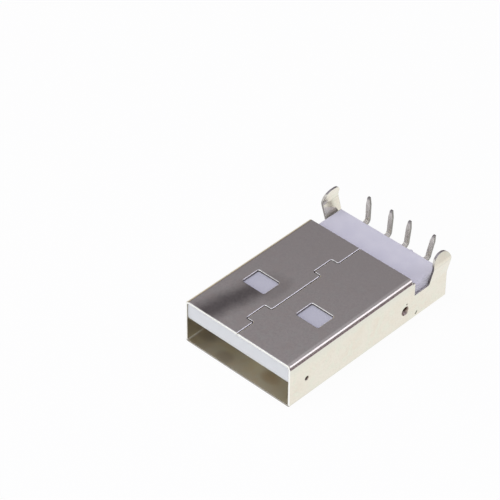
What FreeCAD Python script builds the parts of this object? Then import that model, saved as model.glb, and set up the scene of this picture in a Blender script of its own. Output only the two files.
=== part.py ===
import FreeCAD, Part
import math
import os
import re

import Sketcher

# USB-A plug for board mounting: a folded shell, a moulded insulator and four contacts.
# X runs across the plug, Y from the mouth to the rear, Z up. The plug lies on its plain face, so
# its legs and solder tails point up. The origin is on the mouth plane, at the middle of the plain
# face's edge.

# Driving dimensions in millimetres: name, value, meaning
SIZES = [
    ("shell_width", 12.0, "outside width of the shell"),
    ("shell_height", 4.5, "outside height of the shell"),
    ("wall", 0.2, "thickness of the folded sheet"),
    ("bend_radius", 0.45, "outside radius of the two bends at the seam face"),
    ("plain_bend_radius", 0.26, "outside radius of the two bends at the plain face"),
    ("shell_length", 19.62, "plain face and side walls, mouth to rear edge"),
    ("seam_face_length", 15.12, "seam face, mouth to rear edge"),
    ("shoulder_length", 0.33, "side wall that runs on behind the seam face"),
    ("shoulder_drop", 0.55, "top of that wall below the seam face"),
    ("notch_floor", 2.6, "height of the side wall in front of a leg"),
    ("notch_corner", 0.15, "radius between notch floor and leg"),
    ("leg_base_width", 2.24, "width of a leg at the notch floor"),
    ("right_head_width", 2.25, "width of the right leg's head"),
    ("left_head_width", 2.03, "width of the left leg's head"),
    ("left_wall_short", 0.3, "left side wall shorter than the right one"),
    ("leg_head_setback", 0.13, "head in front of its wall's rear edge"),
    ("right_head_radius", 1.09, "corner radius of the right leg's head"),
    ("left_head_radius", 0.85, "corner radius of the left leg's head"),
    ("right_leg_height", 5.7, "top of the right leg above the plain face"),
    ("left_leg_height", 5.93, "top of the left leg above the plain face"),
    ("leg_lean_start", 2.75, "height at which a leg starts to lean out"),
    ("leg_kink_height", 4.65, "height of the outward kink"),
    ("leg_kink_out", 0.48, "kink beyond the side wall"),
    ("leg_tip_out", 0.19, "right leg's tip beyond the side wall"),
    ("leg_bend_radius", 0.9, "radius of a leg's bends at mid thickness"),
    ("window_width", 2.5, "latch window across the plug"),
    ("window_length", 2.0, "latch window along the plug"),
    ("window_corner", 0.18, "corner radius of a latch window"),
    ("window_offset", 3.075, "middle of a latch window from the middle plane"),
    ("window_setback", 5.11, "front edge of a latch window from the mouth"),
    ("seam_gap", 0.07, "open gap between the two edges of the seam"),
    ("tab_reach", 0.78, "how far a seam tab reaches over the middle plane"),
    ("tab_length", 2.2, "length of a seam tab"),
    ("tab_corner", 0.12, "radius of the seam's convex corners"),
    ("front_tab_start", 1.95, "front edge of the front seam tab"),
    ("rear_tab_start", 10.15, "front edge of the rear seam tab"),
    ("edge_round", 0.08, "rounding that the punch leaves on the shell's outer edges"),
    ("stake_y", 14.31, "stake dimple from the mouth"),
    ("stake_height", 1.58, "stake dimple above the plain face"),
    ("stake_radius", 0.46, "mouth radius of a stake dimple"),
    ("stake_floor_radius", 0.22, "floor radius of a stake dimple"),
    ("stake_depth", 0.34, "depth of a stake dimple"),
    ("ledge_y", 2.02, "ledge dimple from the mouth"),
    ("ledge_radius", 0.22, "mouth radius of a ledge dimple"),
    ("ledge_floor_radius", 0.1, "floor radius of a ledge dimple"),
    ("ledge_depth", 0.26, "depth of a ledge dimple"),
    ("dimple_skin", 0.18, "sheet left at the floor of a dimple"),
    ("housing_gap", 0.02, "gap between insulator and shell"),
    ("mouth_depth", 8.9, "depth of the cavity below the tongue"),
    ("mouth_height", 2.05, "height of the cavity below the tongue"),
    ("tongue_setback", 0.1, "tongue behind the mouth plane"),
    ("tongue_nose_radius", 0.6, "round lower front edge of the tongue"),
    ("tongue_lip_radius", 0.15, "round upper front edge of the tongue"),
    ("shelf_height", 3.47, "top of the rear shelf above the plain face"),
    ("insulator_rear", 19.0, "rear face of the insulator from the mouth"),
    ("shelf_side_radius", 0.3, "round side edges of the rear shelf"),
    ("shelf_rear_radius", 0.1, "round rear edge of the rear shelf"),
    ("gate_offset", 2.4, "gate stub from the middle plane"),
    ("gate_radius", 0.2, "radius of the gate stub"),
    ("gate_stub", 0.15, "length of the gate stub"),
    ("inner_offset", 1.0, "inner contacts from the middle plane"),
    ("outer_offset", 3.5, "outer contacts from the middle plane"),
    ("contact_width", 1.0, "width of a contact in the tongue"),
    ("contact_thickness", 0.2, "thickness of the contact strip"),
    ("contact_recess", 0.2, "contact face above the tongue's underside"),
    ("contact_gap", 0.01, "gap between a contact and its slot"),
    ("outer_nose", 1.5, "front of the outer contacts from the mouth"),
    ("inner_nose", 2.5, "front of the inner contacts from the mouth"),
    ("nose_hook", 0.6, "how far a contact's nose turns up into the tongue"),
    ("nose_radius", 0.4, "bend radius of the nose at mid thickness"),
    ("nose_room", 0.3, "open slot in front of a contact's nose"),
    ("neck_setback", 0.4, "neck of a contact inside the insulator's rear face"),
    ("tail_y", 20.15, "middle of the solder tails from the mouth"),
    ("tail_width", 0.46, "width of a solder tail"),
    ("tail_bend_radius", 0.4, "bend radius of a tail at mid thickness"),
    ("tail_height", 5.3, "top of the solder tails above the plain face"),
    ("tail_tip_width", 0.22, "width of a tail at its tip"),
    ("tail_taper", 0.75, "length of the taper at a tail's tip"),
    ("outer_left_lean", 0.03, "tip of the outer left tail, bent to the right in handling"),
    ("inner_left_lean", 0.13, "tip of the inner left tail, to the right"),
    ("inner_right_lean", 0.22, "tip of the inner right tail, to the right"),
    ("outer_right_lean", 0.48, "tip of the outer right tail, to the right"),
]

# Sizes that follow from the driving dimensions: name, formula, meaning
FOLLOWING = [
    ("side_inside", "shell_width / 2 - wall", "inside of a side wall from the middle plane"),
    ("side_middle", "shell_width / 2 - wall / 2", "middle of a side wall's thickness"),
    ("ceiling", "shell_height - wall", "inside of the seam face"),
    ("tongue_under", "wall + mouth_height", "underside of the tongue"),
    ("ledge_height", "tongue_under - housing_gap - ledge_radius", "ledge dimple's height"),
    ("moulding_side", "side_inside - housing_gap", "side of the insulator"),
    ("moulding_top", "ceiling - housing_gap", "top of the insulator"),
    ("moulding_edge", "bend_radius - wall + housing_gap", "radius of its long edges"),
    ("leg_front", "shell_length - leg_base_width", "front edge of a leg at its base"),
    ("right_wall_rear", "shell_length", "rear edge of the right side wall"),
    ("left_wall_rear", "shell_length - left_wall_short", "rear edge of the left side wall"),
    ("leg_top", "max(right_leg_height; left_leg_height)", "top of the taller leg"),
    ("kink_to_tip", "right_leg_height - leg_kink_height", "height of the leg above its kink"),
    ("tip_lean", "(leg_kink_out - leg_tip_out) / kink_to_tip", "inward lean above the kink"),
    ("strip_end", "leg_top + wall", "top of the strips that the legs are cut from"),
    ("right_head_round", "min(right_head_radius; 0.49 * right_head_width)", "fits the head"),
    ("left_head_round", "min(left_head_radius; 0.49 * left_head_width)", "fits the head"),
    ("punch_round", "min(edge_round; min(0.8 * tab_corner; 0.4 * wall))", "fits corners and wall"),
    ("strip_under", "tongue_under + contact_recess", "contact face of a strip"),
    ("strip_middle", "strip_under + contact_thickness / 2", "middle of a strip's thickness"),
    ("strip_top", "strip_under + contact_thickness", "seat of a strip in its slot"),
    ("slot_half", "contact_width / 2 + contact_gap", "half the width of a slot"),
    ("neck_y", "insulator_rear - neck_setback", "neck between strip and tail"),
    ("tail_front", "tail_y - tail_bend_radius", "front end of a tail's bend"),
    ("tail_foot", "strip_middle + tail_bend_radius", "upper end of a tail's bend"),
]

# Two places nearer than this count as the same
TINY = 1e-6

NAMES = {name for name, _, _ in SIZES + FOLLOWING}


def bound(text):
    """Points every size named in an expression at its cell in the sheet."""
    return re.sub(r"[a-z_]+", lambda word: f"Sizes.{word[0]}" if word[0] in NAMES else word[0], text)


def make_sheet(doc):
    """Writes every size in a cell of its own, under its name."""
    sheet = doc.addObject("Spreadsheet::Sheet", "Sizes")
    for row, (name, content, meaning) in enumerate(SIZES + FOLLOWING, start=1):
        formula = isinstance(content, str)
        sheet.set(f"A{row}", name)
        sheet.set(f"B{row}", f"={content}" if formula else str(content))
        sheet.set(f"C{row}", meaning)
        sheet.setAlias(f"B{row}", name)
    doc.recompute()


def new_body(doc, label):
    body = doc.addObject("PartDesign::Body", label)
    body.Label = label
    return body


def origin_feature(body, role):
    return next(item for item in body.Origin.OriginFeatures if item.Role == role)


def new_sketch(body, name, role, x="0", y="0", out="0"):
    """Adds a sketch on one of the body's own planes, moved within it by x and y and out of it.

    XY_Plane looks along +Z and moves out upwards, YZ_Plane has Y to its right and Z up, and
    XZ_Plane has X to its right, Z up, and moves out towards the mouth, along -Y.
    """
    sketch = body.newObject("Sketcher::SketchObject", name)
    sketch.AttachmentSupport = [(origin_feature(body, role), "")]
    sketch.MapMode = "FlatFace"
    for axis, text in (("x", x), ("y", y), ("z", out)):
        if text != "0":
            sketch.setExpression(f"AttachmentOffset.Base.{axis}", bound(text))
    return sketch


def measure(sketch, text):
    return float(sketch.evalExpression(bound(text)))


def tie(sketch, kind, point, text):
    """Ties a point to the sketch's origin along one axis by a size or an expression."""
    if text == "0":
        axis = -2 if kind == "DistanceX" else -1
        sketch.addConstraint(Sketcher.Constraint("PointOnObject", *point, axis))
        return
    value = measure(sketch, text)
    ends = (-1, 1, *point) if value > 0 else (*point, -1, 1)
    index = sketch.addConstraint(Sketcher.Constraint(kind, *ends, abs(value)))
    sketch.setExpression(f"Constraints[{index}]", bound(text if value > 0 else f"-({text})"))


def round_corner(sketch, before, corner, after, radius):
    """Adds the arc that rounds a corner. Returns it, its end points and which end comes first."""
    back = (before - corner).normalize()
    ahead = (after - corner).normalize()
    half = back.getAngle(ahead) / 2
    centre = corner + (back + ahead).normalize() * (radius / math.sin(half))
    entry = corner + back * (radius / math.tan(half))
    leave = corner + ahead * (radius / math.tan(half))
    left_turn = ahead.cross(back).z > 0
    first, last = (entry, leave) if left_turn else (leave, entry)
    angles = [math.atan2(p.y - centre.y, p.x - centre.x) for p in (first, last)]
    if angles[1] < angles[0]:
        angles[1] += 2 * math.pi
    circle = Part.Circle(centre, FreeCAD.Vector(0, 0, 1), radius)
    arc = sketch.addGeometry(Part.ArcOfCircle(circle, *angles), False)
    return arc, entry, leave, (1, 2) if left_turn else (2, 1)


def draw(sketch, corners, closed=True):
    """Draws an outline or an open route through corners: (x, y) or (x, y, radius), as text.

    A corner takes its own dimension along an axis only where its text differs from the corner
    before it. Where both share it, the side between them is made vertical or horizontal.
    """
    places = [FreeCAD.Vector(measure(sketch, c[0]), measure(sketch, c[1])) for c in corners]
    count = len(corners)
    starts, ends, arcs = list(places), list(places), {}
    for k, corner in enumerate(corners):
        if len(corner) == 3:
            around = places[k - 1], places[k], places[(k + 1) % count]
            arc, ends[k], starts[k], order = round_corner(sketch, *around, measure(sketch, corner[2]))
            arcs[k] = arc, order
    sides = []
    for k in range(count if closed else count - 1):
        line = Part.LineSegment(starts[k], ends[(k + 1) % count])
        sides.append(sketch.addGeometry(line, False))
    for k, corner in enumerate(corners):
        before = sides[k - 1] if closed or k > 0 else None
        after = sides[k] if k < len(sides) else None
        if k in arcs:
            arc, (entry, leave) = arcs[k]
            spot = sketch.addGeometry(Part.Point(places[k]), True)
            sketch.addConstraint(Sketcher.Constraint("Tangent", before, 2, arc, entry))
            sketch.addConstraint(Sketcher.Constraint("Tangent", arc, leave, after, 1))
            sketch.addConstraint(Sketcher.Constraint("PointOnObject", spot, 1, before))
            sketch.addConstraint(Sketcher.Constraint("PointOnObject", spot, 1, after))
            radius = sketch.addConstraint(Sketcher.Constraint("Radius", arc, measure(sketch, corner[2])))
            sketch.setExpression(f"Constraints[{radius}]", bound(corner[2]))
            point = (spot, 1)
        else:
            if before is not None and after is not None:
                sketch.addConstraint(Sketcher.Constraint("Coincident", before, 2, after, 1))
            point = (after, 1) if after is not None else (before, 2)
        for axis, kind, straight in ((0, "DistanceX", "Vertical"), (1, "DistanceY", "Horizontal")):
            if k > 0 and corner[axis] == corners[k - 1][axis]:
                sketch.addConstraint(Sketcher.Constraint(straight, before))
            else:
                tie(sketch, kind, point, corner[axis])


def rectangle(left, right, low, high, radius=None, low_radius=None):
    """The four corners of an upright rectangle, rounded or not, the lower two as they may need."""
    corners = [(left, low), (right, low), (right, high), (left, high)]
    radii = [low_radius or radius] * 2 + [radius] * 2
    return [corner + (size,) for corner, size in zip(corners, radii)] if radius else corners


def mirrored(corners):
    """The same outline on the other side of the middle plane."""
    return [(f"-({corner[0]})",) + corner[1:] for corner in corners]


def extrude(body, kind, sketch, length=None, backwards=False, both_ways=False):
    """Pads a sketch or cuts it, over a length or, without one, through everything."""
    feature = body.newObject(f"PartDesign::{kind}", f"{sketch.Name}_{kind.lower()}")
    feature.Profile = sketch
    if length:
        feature.setExpression("Length", bound(length))
    else:
        feature.Type = "ThroughAll"
    if both_ways:
        feature.SideType = "Symmetric"
    feature.Reversed = backwards
    return feature


def spin(body, kind, sketch):
    """Turns a sketch about its own horizontal axis, as a Revolution or a Groove."""
    feature = body.newObject(f"PartDesign::{kind}", f"{sketch.Name}_{kind.lower()}")
    feature.Profile = sketch
    feature.ReferenceAxis = (sketch, ["H_Axis"])
    return feature


def sweep(body, profile, route):
    feature = body.newObject("PartDesign::AdditivePipe", f"{profile.Name}_pipe")
    feature.Profile = profile
    feature.Spine = (route, [])
    return feature


def mirror(body, name, features):
    """Repeats features on the other side of the middle plane."""
    feature = body.newObject("PartDesign::Mirrored", name)
    feature.Originals = features
    feature.MirrorPlane = (origin_feature(body, "YZ_Plane"), [""])
    body.Tip = feature
    return feature


def shell_tube(body):
    """The sheet folded round: four bends, before anything is cut."""
    section = new_sketch(body, "section", "XZ_Plane")
    outside = ("-shell_width / 2", "shell_width / 2", "0", "shell_height")
    inside = ("-side_inside", "side_inside", "wall", "ceiling")
    draw(section, rectangle(*outside, "bend_radius", "plain_bend_radius"))
    draw(section, rectangle(*inside, "bend_radius - wall", "plain_bend_radius - wall"))
    extrude(body, "Pad", section, "shell_length", backwards=True)


def shell_rear(body):
    """Takes the seam face away behind the board's edge, and lowers the side walls to the notch."""
    cut = new_sketch(body, "rear_opening", "YZ_Plane")
    draw(cut, [
        ("seam_face_length", "shell_height + wall"),
        ("seam_face_length", "shell_height - shoulder_drop"),
        ("seam_face_length + shoulder_length", "shell_height - shoulder_drop"),
        ("seam_face_length + shoulder_length", "notch_floor"),
        ("shell_length + wall", "notch_floor"),
        ("shell_length + wall", "shell_height + wall"),
    ])
    extrude(body, "Pocket", cut, both_ways=True)


def leg_outline(body, hand, to_the_right):
    """Cuts one leg's outline: notch corner, round head, and down its wall's rear edge."""
    head_rear = f"{hand}_wall_rear - leg_head_setback"
    height = f"{hand}_leg_height"
    outline = new_sketch(body, f"{hand}_leg_outline", "YZ_Plane")
    draw(outline, [
        ("leg_front - 3 * wall", "notch_floor"),
        ("leg_front", "notch_floor", "notch_corner"),
        (f"{head_rear} - {hand}_head_width", height, f"{hand}_head_round"),
        (head_rear, height, f"{hand}_head_round"),
        (f"{hand}_wall_rear", "notch_floor"),
        (f"{hand}_wall_rear", "plain_bend_radius"),
        ("shell_length + wall", "plain_bend_radius"),
        ("shell_length + wall", "strip_end + wall"),
        ("leg_front - 3 * wall", "strip_end + wall"),
    ])
    extrude(body, "Pocket", outline, backwards=to_the_right)


def shell_legs(body):
    """Two strips that carry the side walls on up, bent out and back in, with round heads."""
    route = new_sketch(body, "leg_route", "XZ_Plane", out="-leg_front")
    draw(route, [
        ("side_middle", "notch_floor - wall"),
        ("side_middle", "leg_lean_start", "leg_bend_radius"),
        ("side_middle + leg_kink_out", "leg_kink_height", "leg_bend_radius"),
        ("side_middle + leg_kink_out - tip_lean * (strip_end - leg_kink_height)", "strip_end"),
    ], closed=False)
    strip = new_sketch(body, "leg_strip", "XY_Plane", out="notch_floor - wall")
    draw(strip, rectangle("side_inside", "shell_width / 2", "leg_front - 2 * wall", "shell_length"))
    leg = sweep(body, strip, route)
    mirror(body, "leg_pair", [leg])
    leg_outline(body, "right", True)
    leg_outline(body, "left", False)


def dimple_outline(name, far):
    """Half the section of a dimple's punch: floor at depth, cone, mouth in the wall's outside."""
    floor = f"shell_width / 2 - {name}_depth"
    return [
        (floor, "0"),
        (floor, f"{name}_floor_radius"),
        ("shell_width / 2", f"{name}_radius"),
        (far, f"{name}_radius"),
        (far, "0"),
    ]


def bump_outline(name, gap):
    """Half the section of the bump that a dimple raises inside, with a gap round it."""
    tip = f"shell_width / 2 - {name}_depth - dimple_skin - {gap}"
    base = "side_inside + wall / 2"
    return [
        (tip, "0"),
        (tip, f"{name}_floor_radius + dimple_skin / 2 + {gap}"),
        ("side_inside", f"{name}_radius + {gap}"),
        (base, f"{name}_radius + {gap}"),
        (base, "0"),
    ]


def shell_dimple(body, name):
    """One dimple punched into the right side wall: a bump inside and a crater outside."""
    bump = new_sketch(body, f"{name}_bump", "XY_Plane", y=f"{name}_y", out=f"{name}_height")
    draw(bump, bump_outline(name, "0"))
    crater = new_sketch(body, f"{name}_crater", "XY_Plane", y=f"{name}_y", out=f"{name}_height")
    draw(crater, dimple_outline(name, "shell_width / 2 + wall"))
    return [spin(body, "Revolution", bump), spin(body, "Groove", crater)]


def shell_window(body):
    """One latch window through the plain face and the seam face."""
    window = new_sketch(body, "window", "XY_Plane", x="window_offset", y="window_setback")
    half = "window_width / 2"
    draw(window, rectangle(f"-{half}", half, "0", "window_length", "window_corner"))
    return extrude(body, "Pocket", window, backwards=True)


def seam_edge(side):
    """One edge of the seam, from the mouth to the rear: side 1 carries the tabs, -1 their bays."""
    tip = "tab_corner" if side == 1 else "tab_corner + seam_gap"
    root = "tab_corner + seam_gap" if side == 1 else "tab_corner"
    straight = f"{side} * seam_gap / 2"
    reach = f"{straight} - tab_reach"
    corners = [(straight, "-wall")]
    for start in ("front_tab_start", "rear_tab_start"):
        low = f"{start} + {straight}"
        high = f"{start} + tab_length - {straight}"
        corners += [
            (straight, low, root),
            (reach, low, tip),
            (reach, high, tip),
            (straight, high, root),
        ]
    return corners + [(straight, "seam_face_length + wall")]


def shell_seam(body):
    """The thin open line where the sheet's two edges meet, with two interlocking tabs."""
    seam = new_sketch(body, "seam", "XY_Plane", out="shell_height")
    draw(seam, seam_edge(1) + seam_edge(-1)[::-1])
    extrude(body, "Pocket", seam, "2 * wall")


def shell_edges(body):
    """Rounds the outer edges of the mouth, the windows and the seam."""
    body.Document.recompute()
    punched = body.Tip
    height, rear = [measure(punched, text) for text in ("shell_height", "seam_face_length")]
    plain_flat = measure(punched, "shell_width / 2 - plain_bend_radius")
    seam_flat = measure(punched, "shell_width / 2 - bend_radius")
    names = []
    for index, edge in enumerate(punched.Shape.Edges, start=1):
        box = edge.BoundBox
        for level, flat in ((0, plain_flat), (height, seam_flat)):
            on_level = box.ZLength < TINY and abs(box.ZMin - level) < TINY
            at_bend = abs(abs(box.Center.x) - flat) < TINY
            if on_level and not at_bend and box.YMin < rear - TINY:
                names.append(f"Edge{index}")
    rounding = body.newObject("PartDesign::Fillet", "edges")
    rounding.Base = (punched, names)
    rounding.setExpression("Radius", bound("punch_round"))


def make_shell(doc):
    body = new_body(doc, "shell")
    shell_tube(body)
    shell_rear(body)
    shell_legs(body)
    pairs = [shell_window(body)] + shell_dimple(body, "stake") + shell_dimple(body, "ledge")
    mirror(body, "windows_and_dimples", pairs)
    shell_seam(body)
    shell_edges(body)
    return body


def insulator_block(body):
    """The moulding's stock, with long edges that clear the shell's bends."""
    section = new_sketch(body, "stock", "XZ_Plane", out="-tongue_setback")
    stock = ("-moulding_side", "moulding_side", "wall", "moulding_top", "moulding_edge")
    draw(section, rectangle(*stock))
    extrude(body, "Pad", section, "insulator_rear - tongue_setback", backwards=True)


def insulator_tongue(body):
    """Clears the cavity below the tongue and rounds the tongue's two front edges."""
    cavity = new_sketch(body, "cavity", "YZ_Plane")
    draw(cavity, [
        ("-wall", "0"),
        ("mouth_depth", "0"),
        ("mouth_depth", "tongue_under"),
        ("tongue_setback", "tongue_under", "tongue_nose_radius"),
        ("tongue_setback", "moulding_top", "tongue_lip_radius"),
        ("tongue_setback + 2 * tongue_lip_radius", "moulding_top"),
        ("tongue_setback + 2 * tongue_lip_radius", "shell_height"),
        ("-wall", "shell_height"),
    ])
    extrude(body, "Pocket", cavity, both_ways=True)


def insulator_shelf(body):
    """Lowers the moulding behind the seam face to the shelf that the board lies on."""
    sides = new_sketch(body, "shelf_sides", "XZ_Plane", out="-insulator_rear")
    draw(sides, [
        ("moulding_side", "shelf_height - 2 * shelf_side_radius"),
        ("moulding_side", "shelf_height", "shelf_side_radius"),
        ("-moulding_side", "shelf_height", "shelf_side_radius"),
        ("-moulding_side", "shelf_height - 2 * shelf_side_radius"),
        ("-shell_width / 2", "shelf_height - 2 * shelf_side_radius"),
        ("-shell_width / 2", "shell_height"),
        ("shell_width / 2", "shell_height"),
        ("shell_width / 2", "shelf_height - 2 * shelf_side_radius"),
    ])
    extrude(body, "Pocket", sides, "insulator_rear - seam_face_length", backwards=True)
    rear = new_sketch(body, "shelf_rear", "YZ_Plane", x="insulator_rear", y="shelf_height")
    draw(rear, [
        ("0", "-2 * shelf_rear_radius"),
        ("0", "0", "shelf_rear_radius"),
        ("-2 * shelf_rear_radius", "0"),
        ("-2 * shelf_rear_radius", "wall"),
        ("wall", "wall"),
        ("wall", "-2 * shelf_rear_radius"),
    ])
    extrude(body, "Pocket", rear, both_ways=True)


def insulator_slots(body, name):
    """The slots of one pair of contacts, on through the block, open below along the tongue."""
    left, right = f"{name}_offset - slot_half", f"{name}_offset + slot_half"
    slot = new_sketch(body, f"{name}_slots", "XZ_Plane", out=f"-({name}_nose - nose_room)")
    outline = rectangle(left, right, "strip_under - contact_gap", "strip_top + contact_gap")
    draw(slot, outline)
    draw(slot, mirrored(outline))
    extrude(body, "Pocket", slot)
    channel = new_sketch(body, f"{name}_channels", "XY_Plane", out="tongue_under - contact_gap")
    outline = rectangle(left, right, f"{name}_nose - nose_room", "mouth_depth")
    draw(channel, outline)
    draw(channel, mirrored(outline))
    extrude(body, "Pocket", channel, "contact_recess + 2 * contact_gap", backwards=True)
    nose = new_sketch(body, f"{name}_noses", "XY_Plane", out="tongue_under - contact_gap")
    back = f"{name}_nose + contact_thickness / 2 + nose_radius + contact_gap"
    outline = rectangle(left, right, f"{name}_nose - nose_room", back)
    draw(nose, outline)
    draw(nose, mirrored(outline))
    depth = "strip_middle + nose_hook + 2 * contact_gap - tongue_under"
    extrude(body, "Pocket", nose, depth, backwards=True)


def insulator_stakes(body):
    """The side recesses that the shell's stake dimples lock into."""
    recess = new_sketch(body, "stake_recess", "XY_Plane", y="stake_y", out="stake_height")
    draw(recess, bump_outline("stake", "housing_gap"))
    mirror(body, "stake_recesses", [spin(body, "Groove", recess)])


def insulator_gate(body):
    """The short stub that the moulding's gate leaves on the rear face."""
    height = "shelf_height - shelf_rear_radius - gate_radius"
    gate = new_sketch(body, "gate", "XZ_Plane", x="gate_offset", y=height, out="-insulator_rear")
    circle = Part.Circle(FreeCAD.Vector(), FreeCAD.Vector(0, 0, 1), measure(gate, "gate_radius"))
    ring = gate.addGeometry(circle, False)
    gate.addConstraint(Sketcher.Constraint("Coincident", ring, 3, -1, 1))
    radius = gate.addConstraint(Sketcher.Constraint("Radius", ring, circle.Radius))
    gate.setExpression(f"Constraints[{radius}]", bound("gate_radius"))
    extrude(body, "Pad", gate, "gate_stub", backwards=True)


def make_insulator(doc):
    body = new_body(doc, "insulator")
    insulator_block(body)
    insulator_tongue(body)
    insulator_shelf(body)
    insulator_slots(body, "outer")
    insulator_slots(body, "inner")
    insulator_stakes(body)
    insulator_gate(body)
    return body


def strip_edge(side, name, lean):
    """One edge of a strip seen from above, nose to tail bend, and back outside the blank."""
    far = f"{side} * (contact_width / 2 + 2 * {lean})"
    return [
        (f"{side} * contact_width / 2", f"{name}_nose - contact_thickness"),
        (f"{side} * contact_width / 2", "neck_y"),
        (f"{side} * tail_width / 2", "neck_y"),
        (f"{side} * tail_width / 2", "tail_front"),
        (far, "tail_front"),
        (far, f"{name}_nose - contact_thickness"),
    ]


def tail_edge(side, lean):
    """One edge of a leaning tail seen from the front, bend to tip, and back outside the blank."""
    far = f"{side} * (contact_width / 2 + 2 * {lean})"
    shoulder_lean = f"{lean} * (1 - tail_taper / (tail_height - tail_foot))"
    return [
        (f"{side} * tail_width / 2", "strip_under - contact_thickness"),
        (f"{side} * tail_width / 2", "tail_foot"),
        (f"{side} * tail_width / 2 + {shoulder_lean}", "tail_height - tail_taper"),
        (f"{side} * tail_tip_width / 2 + {lean}", "tail_height"),
        (f"{side} * tail_tip_width / 2 + {lean}", "tail_height + contact_thickness"),
        (far, "tail_height + contact_thickness"),
        (far, "strip_under - contact_thickness"),
    ]


def make_contact(doc, name, hand, side):
    """One stamped strip: nose hooked into the tongue, strip, neck and upright solder tail.

    The strip's route is swept with a blank that is wide enough for the lean of its tail, and both
    outlines are then cut from it.
    """
    label = f"contact_{name}_{hand}"
    lean = f"{name}_{hand}_lean"
    body = new_body(doc, label)
    nose_middle = f"{name}_nose + contact_thickness / 2"
    route = new_sketch(body, f"{label}_route", "YZ_Plane")
    draw(route, [
        (nose_middle, "strip_middle + nose_hook"),
        (nose_middle, "strip_middle", "nose_radius"),
        ("tail_y", "strip_middle", "tail_bend_radius"),
        ("tail_y", "tail_height"),
    ], closed=False)
    half = f"(contact_width / 2 + {lean})"
    blank = new_sketch(body, f"{label}_blank", "XY_Plane", out="strip_middle + nose_hook")
    draw(blank, rectangle(f"-{half}", half, f"{name}_nose", f"{name}_nose + contact_thickness"))
    sweep(body, blank, route)
    strip = new_sketch(body, f"{label}_strip", "XY_Plane")
    draw(strip, strip_edge(1, name, lean))
    draw(strip, strip_edge(-1, name, lean))
    extrude(body, "Pocket", strip, backwards=True)
    tail = new_sketch(body, f"{label}_tail", "XZ_Plane", out="-tail_front")
    draw(tail, tail_edge(1, lean))
    draw(tail, tail_edge(-1, lean))
    extrude(body, "Pocket", tail)
    body.setExpression("Placement.Base.x", bound(f"{side} * {name}_offset"))
    return body


def make_contacts(doc):
    return [
        make_contact(doc, "outer", "left", -1),
        make_contact(doc, "inner", "left", -1),
        make_contact(doc, "inner", "right", 1),
        make_contact(doc, "outer", "right", 1),
    ]


CUTS = ("PartDesign::Pocket", "PartDesign::Groove", "PartDesign::Fillet")


def check(doc, bodies):
    """Stops on a failed object, a body that isn't one sound solid, or a cut that cuts nothing."""
    for item in doc.Objects:
        if "Invalid" in item.State or "Error" in item.State:
            raise RuntimeError(f"{item.Name} failed: {item.State}")
    for body in bodies:
        shape = body.Shape
        if shape.isNull() or not shape.isValid() or len(shape.Solids) != 1:
            raise RuntimeError(f"{body.Label} is not one valid solid")
        for feature in body.Group:
            if feature.TypeId in CUTS:
                if feature.Shape.Volume > feature.BaseFeature.Shape.Volume - TINY:
                    raise RuntimeError(f"{feature.Name} cuts nothing")
        print(f"{body.Label}: {shape.Volume:.3f} mm3, {len(shape.Faces)} faces")


def main():
    doc = FreeCAD.newDocument("board_plug")
    make_sheet(doc)
    bodies = [make_shell(doc), make_insulator(doc)] + make_contacts(doc)
    doc.recompute()
    check(doc, bodies)
    os.makedirs("parts", exist_ok=True)
    for body in bodies:
        body.Shape.exportStep(f"parts/{body.Label}.step")


main()
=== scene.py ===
# %% [markdown]
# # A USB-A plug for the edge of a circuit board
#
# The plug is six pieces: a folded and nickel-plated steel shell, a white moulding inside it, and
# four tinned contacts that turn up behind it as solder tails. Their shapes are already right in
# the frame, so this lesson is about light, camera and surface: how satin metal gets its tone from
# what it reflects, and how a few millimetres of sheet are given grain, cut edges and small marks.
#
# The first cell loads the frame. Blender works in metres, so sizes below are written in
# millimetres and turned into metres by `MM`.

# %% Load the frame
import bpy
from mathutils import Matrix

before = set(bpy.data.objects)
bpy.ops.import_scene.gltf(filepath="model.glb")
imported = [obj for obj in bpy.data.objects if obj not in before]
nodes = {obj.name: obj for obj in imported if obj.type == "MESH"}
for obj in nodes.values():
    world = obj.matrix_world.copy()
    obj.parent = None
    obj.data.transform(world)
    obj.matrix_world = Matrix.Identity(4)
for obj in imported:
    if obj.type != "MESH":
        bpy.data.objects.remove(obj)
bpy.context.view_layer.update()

import math

import bpy
from mathutils import Matrix, Vector

MM = 0.001
print("nodes:", sorted(nodes))

# %% [markdown]
# ## Writing shaders as sums
#
# A node tree grows long when every addition is a node made by hand. A small class wraps a socket,
# so that `1 - mask * 0.3` adds the Math nodes by itself. Most of the sums below are masks: numbers
# that are 1 on one part of a surface and 0 elsewhere, with a smooth step between.

# %% A socket that can stand in a sum
class Field:
    """An output socket. Sums, differences and products of it add their own Math nodes."""

    def __init__(self, paint, socket):
        self.paint = paint
        self.socket = socket

    def math(self, operation, *terms):
        sockets = dict(enumerate(terms))
        return self.paint.node("ShaderNodeMath", {"operation": operation}, sockets)

    def __add__(self, other):
        return self.math("ADD", self, other)

    def __sub__(self, other):
        return self.math("SUBTRACT", self, other)

    def __rsub__(self, other):
        return self.math("SUBTRACT", other, self)

    def __mul__(self, other):
        return self.math("MULTIPLY", self, other)

    __radd__ = __add__
    __rmul__ = __mul__

    def __neg__(self):
        return self * -1

    def __abs__(self):
        return self.math("ABSOLUTE", self)

    def root(self):
        return self.math("SQRT", self)

    def either(self, other):
        return self.math("MAXIMUM", self, other)

    def rise(self, low, high):
        """0 below low, 1 above high, and a smooth step between them."""
        sockets = {"Value": self, "From Min": low, "From Max": high}
        settings = {"interpolation_type": "SMOOTHSTEP"}
        return self.paint.node("ShaderNodeMapRange", settings, sockets)

    def fall(self, low, high):
        """1 below low, 0 above high, and a smooth step between them."""
        return 1 - self.rise(low, high)

    def near(self, centre, reach, soft):
        """1 within reach of centre, fading to 0 over soft beyond it."""
        return abs(self - centre).fall(reach, reach + soft)


print("sums of sockets ready")

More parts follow.
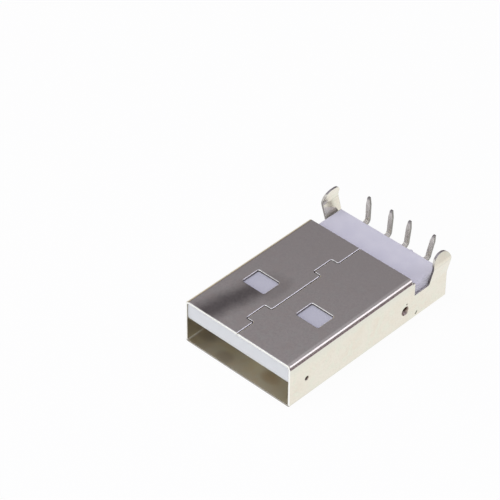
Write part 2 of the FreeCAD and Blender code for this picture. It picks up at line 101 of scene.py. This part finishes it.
# %% [markdown]
# Every other node comes from one method, which takes the node's type, its settings and the values
# or links of its sockets. Four short ones build on it: a blend of two colours, a stack of such
# blends, a noise pattern, and a vector's three parts.

# %% The one way a node is made
class Paint:
    """A node tree and the methods that add to it."""

    def __init__(self, tree):
        self.tree = tree
        self.tree.nodes.clear()

    def node(self, kind, settings=None, sockets=None, out=0):
        made = self.tree.nodes.new(kind)
        for name, value in (settings or {}).items():
            if name == "stops":
                self.fill(made.color_ramp, value)
            else:
                setattr(made, name, value)
        for key, value in (sockets or {}).items():
            if isinstance(value, Field):
                self.tree.links.new(value.socket, made.inputs[key])
            else:
                made.inputs[key].default_value = value
        return Field(self, made.outputs[out]) if made.outputs else None

    def fill(self, ramp, stops):
        while len(ramp.elements) < len(stops):
            ramp.elements.new(1.0)
        for element, (place, colour) in zip(ramp.elements, stops):
            element.position = place
            element.color = (*colour, 1.0)

    def blend(self, factor, first, second):
        """A colour that goes from first to second as factor goes from 0 to 1."""
        sockets = {0: factor, 6: opaque(first), 7: opaque(second)}
        return self.node("ShaderNodeMix", {"data_type": "RGBA"}, sockets, out=2)

    def coats(self, tone, *layers):
        """The tone with a colour laid over it wherever that colour's mask is 1, in turn."""
        for mask, colour in layers:
            tone = self.blend(mask, tone, colour)
        return tone

    def noise(self, vector, per_mm, detail=3.0, roughness=0.5):
        """A cloudy pattern from 0 to 1, with about per_mm clouds along each millimetre."""
        sockets = {"Vector": vector, "Scale": per_mm, "Detail": detail, "Roughness": roughness}
        return self.node("ShaderNodeTexNoise", None, sockets)

    def split(self, vector):
        return [self.node("ShaderNodeSeparateXYZ", None, {0: vector}, out=k) for k in range(3)]


def opaque(colour):
    """A plain colour gets its fourth value. A field is passed on."""
    return colour if isinstance(colour, Field) else (*colour, 1.0)


def new_material(name):
    material = bpy.data.materials.new(name)
    material.use_nodes = True
    return material, Paint(material.node_tree)


print("shader tools ready")

# %% [markdown]
# ## The camera
#
# The photograph was taken with a long lens, looking down at about 40 degrees over the mouth's
# right corner. Seven corners of the shell fix the camera: where it stands, how it is turned, and
# how many pixels a millimetre covers at the target. They fix its distance only loosely, because a
# long lens this far away keeps parallel edges nearly parallel. The plug isn't in the middle of the
# picture, so the camera steps aside instead of turning, which keeps its line of sight as it was.

# %% Camera
IMAGE = 500
SENSOR = 36.0
AZIMUTH = math.radians(43.443)
ELEVATION = math.radians(39.873)
ROLL = math.radians(0.486)
DISTANCE = 217.752
PIXELS_PER_MM = 11.845
TARGET = Vector((0.0, 8.0, 2.0))
TARGET_PIXEL = (302.731, 310.158)
NEAREST = 10.0
FARTHEST = 5000.0


def camera_axes():
    """The camera's right, up and backward directions, rolled about its line of sight."""
    right = Vector((math.cos(AZIMUTH), math.sin(AZIMUTH), 0.0))
    flat = math.cos(ELEVATION)
    back = Vector((math.sin(AZIMUTH) * flat, -math.cos(AZIMUTH) * flat, math.sin(ELEVATION)))
    turn = Matrix.Rotation(ROLL, 3, back)
    return turn @ right, turn @ back.cross(right), back


def make_camera():
    right, up, back = camera_axes()
    aside = (IMAGE / 2 - TARGET_PIXEL[0]) / PIXELS_PER_MM
    above = (TARGET_PIXEL[1] - IMAGE / 2) / PIXELS_PER_MM
    place = TARGET + right * aside + up * above + back * DISTANCE
    turned = Matrix((right, up, back)).transposed().to_4x4()
    data = bpy.data.cameras.new("camera")
    data.sensor_width = SENSOR
    data.lens = PIXELS_PER_MM * DISTANCE / IMAGE * SENSOR
    data.clip_start = NEAREST * MM
    data.clip_end = FARTHEST * MM
    camera = bpy.data.objects.new("camera", data)
    camera.matrix_world = Matrix.Translation(place * MM) @ turned
    bpy.context.scene.collection.objects.link(camera)
    bpy.context.scene.camera = camera
    return camera


camera = make_camera()
print("lens", round(camera.data.lens, 1), "mm, at", [round(v / MM, 1) for v in camera.location])

# %% [markdown]
# ## The floor
#
# Satin metal has hardly any colour of its own: it shows what stands round it. The side walls look
# cream because they mirror the table, so the floor is white both to the camera and to reflections.
# It gets that white from an emission of strength 1, not from more light on the plug, and a little
# of a plain matt surface is mixed in, which catches the plug's soft shadow. In reflections it
# turns dim a few centimetres away, as if the plug stood on a sheet of paper. Seen from below, it
# is clear.

# %% Floor
WHITE = (1.0, 1.0, 1.0)
FLOOR_SIZE = 3.0
FLOOR_DROP = 0.02 * MM
FLOOR_SHADOW = 0.05
FLOOR_MATT = (0.9, 0.9, 0.9)
FLOOR_FAR = (0.25, 0.24, 0.23)
WHITE_TO = 20 * MM
DIM_FROM = 55 * MM


def floor_material():
    material, paint = new_material("white_table")
    direct = paint.node("ShaderNodeLightPath", out="Is Camera Ray")
    seen = direct.either(paint.node("ShaderNodeLightPath", out="Is Glossy Ray"))
    point = paint.node("ShaderNodeNewGeometry", out="Position")
    measure = {"operation": "DISTANCE"}
    away = paint.node("ShaderNodeVectorMath", measure, {0: point, 1: TARGET * MM}, out="Value")
    fade = away.rise(WHITE_TO, DIM_FROM) * (1 - direct)
    matt = paint.node("ShaderNodeBsdfDiffuse", None, {"Color": opaque(FLOOR_MATT)})
    glow = paint.node("ShaderNodeEmission", None, {"Color": paint.blend(fade, WHITE, FLOOR_FAR)})
    glowing = seen * (1 - FLOOR_SHADOW)
    surface = paint.node("ShaderNodeMixShader", None, {0: glowing, 1: matt, 2: glow})
    below = paint.node("ShaderNodeNewGeometry", out="Backfacing")
    clear = paint.node("ShaderNodeBsdfTransparent")
    closed = paint.node("ShaderNodeMixShader", None, {0: below, 1: surface, 2: clear})
    paint.node("ShaderNodeOutputMaterial", None, {"Surface": closed})
    return material


def make_floor():
    half = FLOOR_SIZE / 2
    mesh = bpy.data.meshes.new("floor")
    corners = [(-half, -half), (half, -half), (half, half), (-half, half)]
    mesh.from_pydata([(x, y, -FLOOR_DROP) for x, y in corners], [], [(0, 1, 2, 3)])
    mesh.materials.append(floor_material())
    floor = bpy.data.objects.new("floor", mesh)
    bpy.context.scene.collection.objects.link(floor)


make_floor()
print("floor", FLOOR_SIZE, "m square")

# %% [markdown]
# ## The room
#
# The seam face looks grey because it mirrors the dim room behind the plug. A room could be built
# from walls. A gradient over the sky's height does the same with one node, and is easier to tune:
# purplish at the horizon, darkest about 25 degrees above it, pale overhead. A warm wall low on the
# left tints the left-hand bend. The camera itself sees white.

# %% Room
ROOM_STOPS = [
    (0.50, (0.25, 0.205, 0.23)),
    (0.60, (0.23, 0.19, 0.215)),
    (0.72, (0.16, 0.145, 0.17)),
    (0.90, (0.385, 0.37, 0.435)),
    (1.00, (0.75, 0.73, 0.88)),
]
WARM_WALL = (0.80, 0.70, 0.52)
WALL_INNER, WALL_OUTER = -0.70, -0.80
WALL_HEIGHT, WALL_SOFT = 0.34, 0.08


def make_room():
    """The tones by direction: each part of a direction goes from -1 to 1."""
    world = bpy.data.worlds.new("room")
    world.use_nodes = True
    bpy.context.scene.world = world
    paint = Paint(world.node_tree)
    side, _, height = paint.split(paint.node("ShaderNodeTexCoord", out="Generated"))
    grey = paint.node("ShaderNodeValToRGB", {"stops": ROOM_STOPS}, {"Fac": height * 0.5 + 0.5})
    on_wall = side.fall(WALL_OUTER, WALL_INNER) * height.near(0.0, WALL_HEIGHT, WALL_SOFT)
    direct = paint.node("ShaderNodeLightPath", out="Is Camera Ray")
    colour = paint.coats(grey, (on_wall, WARM_WALL), (direct, WHITE))
    background = paint.node("ShaderNodeBackground", None, {"Color": colour, "Strength": 1.0})
    paint.node("ShaderNodeOutputWorld", None, {"Surface": background})


make_room()
print("room of", len(ROOM_STOPS), "tones and a warm wall")

# %% [markdown]
# ## Lamps
#
# Three soft boxes light the plug, each aimed at it from the same distance. The one overhead lights
# the plastic. It isn't mirrored in the metal, so that the plate keeps its grey when it is seen
# from above. The wide one in front lights the tongue's nose and the mouth's floor. The small one
# behind and above, on the right, draws the white line along the right-hand bend. The two that are
# mirrored are only a little brighter than white: a smaller and brighter lamp would draw the line
# as well, but it would clip the plate to white from other sides. A box of radiance L and area A
# needs a power of pi * L * A.

# %% Soft boxes
LAMP_DISTANCE = 0.6
OVERHEAD = {
    "towards": (-0.1, -0.35, 1.0),
    "size": (0.5, 0.4),
    "radiance": 1.8,
    "colour": (0.90, 0.87, 1.0),
    "mirrored": False,
}
IN_FRONT = {
    "towards": (0.1, -1.0, 0.42),
    "size": (1.0, 0.55),
    "radiance": 1.22,
    "colour": (0.97, 1.0, 0.96),
    "mirrored": True,
}
BEHIND = {
    "towards": (0.65, 0.56, 0.515),
    "size": (0.26, 0.28),
    "radiance": 1.4,
    "colour": (0.85, 0.83, 1.0),
    "mirrored": True,
}


def soft_box(name, towards, size, radiance, colour, mirrored):
    """A flat lamp of a size in metres, along a direction from the plug and facing it."""
    data = bpy.data.lights.new(name, "AREA")
    data.shape = "RECTANGLE"
    data.size, data.size_y = size
    data.color = colour
    data.energy = math.pi * radiance * data.size * data.size_y
    lamp = bpy.data.objects.new(name, data)
    aim = Vector(towards).normalized()
    lamp.rotation_euler = aim.to_track_quat("Z", "Y").to_euler()
    lamp.location = TARGET * MM + aim * LAMP_DISTANCE
    lamp.visible_camera = False
    lamp.visible_glossy = mirrored
    bpy.context.scene.collection.objects.link(lamp)


soft_box("overhead_box", **OVERHEAD)
soft_box("front_box", **IN_FRONT)
soft_box("rear_box", **BEHIND)
print("three soft boxes")

# %% [markdown]
# ## What all three finishes share
#
# Every pattern is worked out from Object coordinates in millimetres, so it stays where it is on
# the piece from every side, and its sizes can be read off a drawing. The last tool ends a
# material: it softens each sharp edge by a few hundredths of a millimetre, as plating and moulding
# do, and adds a bump whose depth is a real one.

# %% Surface tools
EDGE_ROUND = 0.03 * MM
EDGE_SAMPLES = 4


def place_in_mm(paint):
    """Where a point lies on the object, as a vector in millimetres and as its three parts."""
    place = paint.node("ShaderNodeTexCoord", out="Object")
    scaled = paint.node("ShaderNodeVectorMath", {"operation": "SCALE"}, {0: place, "Scale": 1 / MM})
    return scaled, paint.split(scaled)


def facing(paint):
    """Which way the surface looks, as three parts from -1 to 1."""
    return paint.split(paint.node("ShaderNodeTexCoord", out="Normal"))


def stretched(paint, vector, factors):
    """The place with each axis times a factor: a small one draws a pattern out along it."""
    return paint.node("ShaderNodeVectorMath", {"operation": "MULTIPLY"}, {0: vector, 1: factors})


def finish_surface(paint, sockets, height, depth):
    """Ends a material: a rounded normal, a bump of a real depth in metres, and the shader."""
    rounded = paint.node("ShaderNodeBevel", {"samples": EDGE_SAMPLES}, {"Radius": EDGE_ROUND})
    bump_sockets = {"Height": height, "Distance": depth, "Strength": 1.0, "Normal": rounded}
    bump = paint.node("ShaderNodeBump", None, bump_sockets)
    shader = paint.node("ShaderNodeBsdfPrincipled", None, {**sockets, "Normal": bump})
    paint.node("ShaderNodeOutputMaterial", None, {"Surface": shader})


print("surface tools ready")

# %% [markdown]
# ## Nickel plate: spots and patches
#
# The small marks are round or oval, so two helpers make them: a spot on the side walls, which are
# seen along x, and a soft oval on the level faces, which are seen along z. A painted picture could
# hold the marks too, but it would have to be laid out on the folded sheet first.

# %% Spots and patches
# Each spot is its middle along y and z, its radius and its soft border.
STAKE_DIMPLE = (14.31, 1.58, 0.46, 0.02)
LEDGE_DIMPLE = (2.02, 2.01, 0.22, 0.02)
# The dimples' far sides: partly brown residue, partly painted shade in the hollow.
STAKE_STAIN_AND_SHADE = (14.44, 1.60, 0.18, 0.16)
LEDGE_STAIN_AND_SHADE = (2.05, 2.02, 0.13, 0.12)
SPECK = (14.48, 2.23, 0.04, 0.08)


def spot(y, z, middle_y, middle_z, radius, soft):
    """1 within radius of a place on the side walls, fading to 0 over soft beyond it."""
    off_y, off_z = y - middle_y, z - middle_z
    return (off_y * off_y + off_z * off_z).root().fall(radius, radius + soft)


def oval(x, y, middle_x, middle_y, reach_x, reach_y):
    """A soft patch on a level face: 1 in its middle, 0 from its reach on."""
    off_x, off_y = (x - middle_x) * (1 / reach_x), (y - middle_y) * (1 / reach_y)
    return (off_x * off_x + off_y * off_y).fall(0.0, 1.0)


def dimple_stain_and_shade(y, z):
    """Near-black on the far side of both dimples, partly brown residue and partly painted shade,
    and a speck above the rear one.
    """
    in_dimples = spot(y, z, *STAKE_STAIN_AND_SHADE).either(spot(y, z, *LEDGE_STAIN_AND_SHADE))
    return in_dimples.either(spot(y, z, *SPECK))


SCRATCH_MIDDLE = (15.77, 0.55)
SCRATCH_SLOPE = (0.63, 0.78)


def scratch(y, z):
    """A short slanting scratch behind the rear dimple."""
    off_y, off_z = y - SCRATCH_MIDDLE[0], z - SCRATCH_MIDDLE[1]
    flat, steep = SCRATCH_SLOPE
    lengthwise = off_y * flat + off_z * steep
    crosswise = off_z * flat - off_y * steep
    return lengthwise.near(0.0, 0.14, 0.08) * crosswise.near(0.0, 0.05, 0.06)


print("spots, patches and a scratch ready")

# %% [markdown]
# ## Nickel plate: the sheet's faces and edges
#
# The shell is one sheet that is rolled, plated, punched and folded, so its faces and its cut edges
# differ. A material for each would need its own faces in the mesh. Here one material finds them by
# where a point lies and which way it looks. The sizes to look for are measured on the shell's own
# mesh: how far out the side walls stand, how high the seam face lies, and where it ends. Only the
# sheet's thickness and the room that an upper bend takes are written down.

# %% The shell's sizes
SHEET = 0.2
BEND = 0.5

points = [vertex.co / MM for vertex in nodes["shell"].data.vertices]
mouth = [point for point in points if point.y < SHEET]
SIDE_FACE = max(point.x for point in mouth)
SEAM_FACE = max(point.z for point in mouth)
upper = [point for point in points if point.z > SEAM_FACE / 2 and abs(point.x) < SIDE_FACE - 1]
SEAM_FACE_END = max(point.y for point in upper)
measured = [round(size, 3) for size in (SIDE_FACE, SEAM_FACE, SEAM_FACE_END)]
print("side face, seam face and its end at", measured, "mm")

# %% [markdown]
# Three distances make the masks easy to read: `inset` from a side wall's outside, `below` the seam
# face, and `behind` its end. A face's direction comes as three parts, and 0.7 is a tilt of 45
# degrees. The smooth steps are a few hundredths of a millimetre wide, so no border is jagged.

# %% Faces and edges
NOTCH_FACE = 2.6
LEG_START = 15.5


class Sheet:
    """The shell's sheet as masks, one for each face and edge that has a tone of its own."""

    def __init__(self, paint):
        self.place, (x, y, z) = place_in_mm(paint)
        self.x, self.y, self.z = x, y, z
        across, along, upward = facing(paint)
        inset = SIDE_FACE - abs(x)
        below = SEAM_FACE - z
        behind = y - SEAM_FACE_END
        between_bends = inset.rise(BEND, BEND + 0.1)

        self.seam_face = below.near(0.0, 0.04, 0.02)
        self.side_wall = inset.fall(0.02, 0.1) * behind.fall(-0.12, 0.48)
        half = SEAM_FACE / 2
        between_wide_faces = z.near(half, half - SHEET + 0.01, 0.01)
        self.inside = inset.rise(SHEET - 0.015, SHEET - 0.005) * between_wide_faces
        self.looks_up = upward.rise(0.5, 0.7)
        left_inset = x + SIDE_FACE
        corner_line = left_inset.near(SHEET + 0.04, 0.05, 0.03) * z.near(SHEET, 0.08, 0.03)
        self.crease = corner_line * y.fall(1.2, 2.6)

        self.mouth_edge = (-along).rise(0.6, 0.9) * y.fall(SHEET / 2, SHEET)
        self.notch_edge = upward.rise(0.7, 0.9) * z.near(NOTCH_FACE, 0.04, 0.02)
        above_base = z.rise(0.5, 0.6)
        leg_edge = abs(across).fall(0.3, 0.6) * y.rise(LEG_START - 0.03, LEG_START) * above_base
        self.bare_edge = leg_edge.either(along.rise(0.8, 0.95) * behind.rise(-0.12, -0.02))

        upright = abs(upward).fall(0.1, 0.5) * below.fall(SHEET + 0.01, SHEET + 0.05)
        self.window_wall = upright * between_bends * y.rise(0.2, 0.3)
        rounded = upward.near(0.7, 0.22, 0.05) * below.fall(SHEET - 0.05, SHEET)
        self.window_rim = rounded * between_bends
        nearly_upright = upward.rise(0.04, 0.15) * upward.fall(0.32, 0.48)
        on_upper_bend = inset.fall(BEND - 0.05, BEND) * below.near(BEND / 2, 0.2, 0.05)
        self.under_bend = nearly_upright * on_upper_bend * behind.fall(-0.07, -0.02)

        sunk = inset.rise(0.01, 0.04) * inset.fall(0.5, 0.6)
        round_dimples = spot(y, z, *STAKE_DIMPLE).either(spot(y, z, *LEDGE_DIMPLE))
        self.dimple = sunk * round_dimples


print("faces and edges ready")

# %% [markdown]
# ## Nickel plate: the outside
#
# Plate isn't one tone. Slow noise drifts between a warm, a dull and a greenish nickel, as the bath
# and handling leave it, and a finer noise scatters worn grain over it. The seam face is painted a
# little darker towards its rear, as shade. The side walls are painted darker near the table, as the
# plug's shadow would show in them, and are duller near the upper bend. Just below that bend lies a
# thin dark line, a painted reflection: the plate itself is dark there, and stays so under other
# light. Just below that bend lies a thin dark line, probably a reflection. A dark card beside the
# plug drew it, but showed as a patch from the side. The punched rims of seam and windows are
# bright.

# %% Tones of the outside
NICKEL = (0.85, 0.81, 0.705)
NICKEL_DULL = (0.82, 0.76, 0.645)
NICKEL_GREEN = (0.82, 0.81, 0.695)
# Painted shade: the seam face grows darker towards its rear.
NICKEL_REAR_SHADE = (0.75, 0.715, 0.62)
# Painted shade: low on the side walls, near the table, as the plug's shadow would show in them.
NICKEL_TABLE_SHADE = (0.76, 0.76, 0.67)
NICKEL_HIGH = (0.785, 0.785, 0.69)
NICKEL_BEND = (0.13, 0.065, 0.10)
NICKEL_WORN = (0.70, 0.665, 0.585)
NICKEL_EDGE = (0.97, 0.97, 0.94)
REAR_SHADE_ALONG = (-4.0, 22.0)
TABLE_SHADE_BAND = (0.1, 0.4)
HIGH_BAND = (3.0, 4.1)


def outside_tone(paint, sheet, mottle, grain):
    tint = paint.noise(sheet.place, per_mm=1.3)
    worn = grain.rise(0.35, 0.75) * (0.4 + sheet.seam_face * 0.3)
    return paint.coats(
        NICKEL,
        (mottle.rise(0.35, 0.7), NICKEL_DULL),
        (tint.rise(0.45, 0.65), NICKEL_GREEN),
        # painted shade towards the rear of the seam face
        (sheet.y.rise(*REAR_SHADE_ALONG) * sheet.seam_face, NICKEL_REAR_SHADE),
        # painted shade low on the side walls
        (sheet.z.fall(*TABLE_SHADE_BAND) * sheet.side_wall, NICKEL_TABLE_SHADE),
        (sheet.z.rise(*HIGH_BAND) * sheet.side_wall, NICKEL_HIGH),
        (sheet.under_bend, NICKEL_BEND),
        (worn, NICKEL_WORN),
        (sheet.window_rim, NICKEL_EDGE),
    )


print("tones of the outside ready")

# %% [markdown]
# ## Nickel plate: inside the mouth
#
# Light gets into the mouth only after several reflections, and each one makes it yellower. Cycles
# does that by itself, and a yellower plate brings it to the olive of the real one. The plate inside
# is also paler than outside, painted light that brightens the mouth. Two darker patches and a brown
# one lie on the floor of the mouth, its walls are painted darker than its floor as shade, and the
# inner left crease has a painted highlight.

# %% Tones of the inside
# Painted light: the plate inside is paler than outside, to brighten the mouth.
NICKEL_INSIDE_LIT = (1.0, 0.94, 0.74)
NICKEL_INSIDE_DULL_LIT = (1.0, 0.91, 0.69)
# Painted shade on the inside walls, which don't face up.
NICKEL_INSIDE_WALL_SHADE = (0.62, 0.58, 0.49)
# Painted highlight along the inner left crease.
NICKEL_CREASE_HIGHLIGHT = (1.0, 0.97, 0.88)
INSIDE_SHADE = (0.70, 0.63, 0.52)
INSIDE_BROWN = (0.78, 0.60, 0.40)
# Each patch is its middle along x and y, and its reach along both.
SHADE_MIDDLE = (-2.0, 0.6, 1.1, 0.9)
SHADE_LEFT = (-5.0, 1.8, 1.6, 1.2)
BROWN_RIGHT = (2.5, 1.4, 1.3, 0.8)


def inside_tone(paint, sheet):
    blotch = paint.noise(sheet.place, per_mm=0.9)
    shade = oval(sheet.x, sheet.y, *SHADE_MIDDLE).either(oval(sheet.x, sheet.y, *SHADE_LEFT))
    floor_tone = paint.coats(
        NICKEL_INSIDE_LIT,
        (blotch.rise(0.4, 0.65), NICKEL_INSIDE_DULL_LIT),
        (shade * 0.7, INSIDE_SHADE),
        (oval(sheet.x, sheet.y, *BROWN_RIGHT) * 0.6, INSIDE_BROWN),
    )
    # Inside surfaces that don't face up get the painted shade.
    tone = paint.blend(sheet.looks_up, NICKEL_INSIDE_WALL_SHADE, floor_tone)
    # The inner left crease gets its painted highlight.
    return paint.blend(sheet.crease, tone, NICKEL_CREASE_HIGHLIGHT)


print("tones of the inside ready")

# %% [markdown]
# ## Nickel plate: a painted reflection
#
# A dull, soft-edged lane runs over the seam face, from the mouth to the left window, with a fainter
# patch behind it. It may be a film on the plate or partly a reflection, and one picture can't tell.
# Both are a painted reflection, laid into the plate, so they stay under other light. It slants a
# little, its borders wander, and its strength follows the grain, so that it doesn't look like a
# painted stripe.

# %% Painted reflection
LANE_MIDDLE = -3.5
LANE_HALF, LANE_SOFT = 0.1, 1.85
LANE_SLANT = 0.2
LANE_WANDER = 0.6
LANE_FADES = (4.6, 8.6)
REFLECTION_PATCH = (-1.4, 6.2, 1.0, 2.4)
PATCH_STRENGTH = 0.3


# The painted reflection's mask: a dark lane and a fainter patch on the seam face.
def painted_reflection_mask(paint, sheet, grain):
    ripple = paint.noise(sheet.place, per_mm=0.7, detail=2.0)
    off_lane = sheet.x - sheet.y * LANE_SLANT + ripple * LANE_WANDER
    lane = off_lane.near(LANE_MIDDLE, LANE_HALF, LANE_SOFT) * sheet.y.fall(*LANE_FADES)
    patch = oval(sheet.x, sheet.y, *REFLECTION_PATCH) * PATCH_STRENGTH
    return lane.either(patch) * sheet.seam_face * (0.68 + grain * 0.4)


print("haze ready")

# %% [markdown]
# ## Nickel plate: cut edges, marks and gloss
#
# Now the tones are laid over each other in turn: plate, the inside, the painted reflection, then
# the cut edges. The mouth's edge is bright, but for its lowest part, which is painted darker as
# shade near the table. The legs' and the rear edges are bare steel, lighter at the rounded tips,
# and the notch's level edge is lighter still. The walls of the windows and of the seam lie in
# shade. The dimples, the scratch and a near-black spot on the far side of each dimple come last;
# that spot is partly brown residue and partly painted shade. The gloss is satin, with hair-fine
# rolling lines along the plug, and duller where the sheet is bare, sunk or inside.

# %% The whole material
# Painted reflection: the dark lane and patch on the seam face.
NICKEL_PAINTED_REFLECTION = (0.22, 0.20, 0.18)
# Painted shade for the lowest part of the mouth's edge, near the table.
NICKEL_LIP_PAINTED_SHADE = (0.33, 0.31, 0.275)
BARE_STEEL = (0.28, 0.26, 0.25)
BARE_TIP = (0.62, 0.60, 0.57)
NOTCH_EDGE = (0.66, 0.63, 0.62)
DIMPLE = (0.53, 0.44, 0.38)
SHADED_EDGE = (0.22, 0.20, 0.19)
SCRATCH = (0.16, 0.17, 0.13)
# Near-black: brown residue and a speck, with painted shade on the dimples' far side.
STAIN_AND_SHADE = (0.06, 0.03, 0.02)
LIP_SHADE_TOP = (0.18, 0.24)
LEG_TIP = (4.6, 5.3)
ALONG_PLUG = (1.0, 0.03, 1.0)
ROLLED_DEPTH = 0.0002 * MM


def nickel_plate():
    material, paint = new_material("nickel_plate")
    sheet = Sheet(paint)
    rolled = paint.noise(stretched(paint, sheet.place, ALONG_PLUG), per_mm=22.0, detail=4.0)
    mottle = paint.noise(sheet.place, per_mm=0.45, detail=5.0, roughness=0.6)
    grain = paint.noise(sheet.place, per_mm=5.0, detail=4.0, roughness=0.7)
    tone = paint.coats(
        outside_tone(paint, sheet, mottle, grain),
        (sheet.inside, inside_tone(paint, sheet)),
        # the painted reflection on the seam face
        (painted_reflection_mask(paint, sheet, grain), NICKEL_PAINTED_REFLECTION),
        # the mouth's edge, with painted shade on its lowest part
        (sheet.mouth_edge, paint.blend(sheet.z.rise(*LIP_SHADE_TOP), NICKEL_LIP_PAINTED_SHADE, NICKEL_EDGE)),
        (sheet.bare_edge, paint.blend(sheet.z.rise(*LEG_TIP), BARE_STEEL, BARE_TIP)),
        (sheet.notch_edge, NOTCH_EDGE),
        (sheet.dimple, DIMPLE),
        (sheet.window_wall, SHADED_EDGE),
        (scratch(sheet.y, sheet.z), SCRATCH),
        # brown residue and painted shade in the dimples, and the speck
        (dimple_stain_and_shade(sheet.y, sheet.z), STAIN_AND_SHADE),
    )
    satin = 0.13 + mottle * 0.08 + rolled * 0.04
    duller = (sheet.bare_edge + sheet.inside) * 0.15 + (sheet.dimple + sheet.crease) * 0.2
    sockets = {"Base Color": tone, "Metallic": 1.0, "Roughness": satin + duller}
    finish_surface(paint, sockets, rolled, ROLLED_DEPTH)
    return material


nodes["shell"].material_slots[0].material = nickel_plate()
print("shell plated")

# %% [markdown]
# ## White moulding
#
# The moulding is a white thermoplastic with a cool tint. It is matt with a faint sheen, and its
# surface carries the fine spark-eroded grain of the mould. A plain Principled shader does for it,
# without light under the skin, because it is nearly opaque. Under the windows it is a little
# darker, where the sheet's edge would shade it more than the lamps here do, and the tongue's nose
# is a touch greener than the rest.

# %% Insulator material
PLASTIC = (0.77, 0.775, 0.815)
PLASTIC_SHADE = (0.73, 0.735, 0.785)
PLASTIC_DEEP = (0.58, 0.59, 0.635)
PLASTIC_NOSE = (0.735, 0.765, 0.765)
TONGUE_TOP = 4.2
WINDOWS_MIDDLE = 6.1
NOSE_END = (0.6, 0.8)
PLASTIC_IOR = 1.5
MOULD_DEPTH = 0.002 * MM


def white_moulding():
    material, paint = new_material("white_moulding")
    place, (_, y, z) = place_in_mm(paint)
    grain = paint.noise(place, per_mm=18.0)
    cloud = paint.noise(place, per_mm=0.6, detail=4.0)
    under_windows = z.rise(TONGUE_TOP, TONGUE_TOP + 0.05) * y.near(WINDOWS_MIDDLE, 1.3, 0.2)
    tone = paint.coats(
        PLASTIC,
        (cloud.rise(0.35, 0.65), PLASTIC_SHADE),
        (under_windows, PLASTIC_DEEP),
        (y.fall(*NOSE_END), PLASTIC_NOSE),
    )
    sockets = {"Base Color": tone, "Roughness": 0.42 + grain * 0.12, "IOR": PLASTIC_IOR}
    finish_surface(paint, sockets, grain, MOULD_DEPTH)
    return material


nodes["insulator"].material_slots[0].material = white_moulding()
print("insulator moulded")

# %% [markdown]
# ## Tinned contacts
#
# The contacts are stamped from a copper alloy and tinned. Tin is softer and duller than nickel and
# smears a little along the strip, so its noise is drawn out that way. The sheared sides and the
# tapered tips are darker. Each contact could have a material of its own, but all four come off one
# strip, so they share one, and the noise makes each a little different.

# %% Contact material
TIN = (1.0, 0.98, 0.85)
TIN_DULL = (0.88, 0.85, 0.73)
TIN_TIP = (0.50, 0.48, 0.44)
TIN_CUT = (0.36, 0.35, 0.32)
TIP = (4.95, 5.2)
ALONG_STRIP = (1.0, 0.3, 0.3)
SMEAR_DEPTH = 0.003 * MM


def tin_plate():
    material, paint = new_material("tin_plate")
    place, (_, _, z) = place_in_mm(paint)
    smear = paint.noise(stretched(paint, place, ALONG_STRIP), per_mm=3.0, detail=5.0)
    across, _, _ = facing(paint)
    sheared = abs(across).rise(0.7, 0.9)
    tone = paint.coats(
        TIN,
        (smear.rise(0.35, 0.7), TIN_DULL),
        (z.rise(*TIP), TIN_TIP),
        (sheared, TIN_CUT),
    )
    roughness = 0.25 + smear * 0.2 + sheared * 0.15
    sockets = {"Base Color": tone, "Metallic": 1.0, "Roughness": roughness}
    finish_surface(paint, sockets, smear, SMEAR_DEPTH)
    return material


tin = tin_plate()
for name, node in nodes.items():
    if name.startswith("contact_"):
        node.material_slots[0].material = tin
print("contacts tinned")

# %% [markdown]
# ## The view transform
#
# The view transform stays plain, so a colour shows as it is written.

# %% Finish
bpy.context.scene.view_settings.view_transform = "Standard"
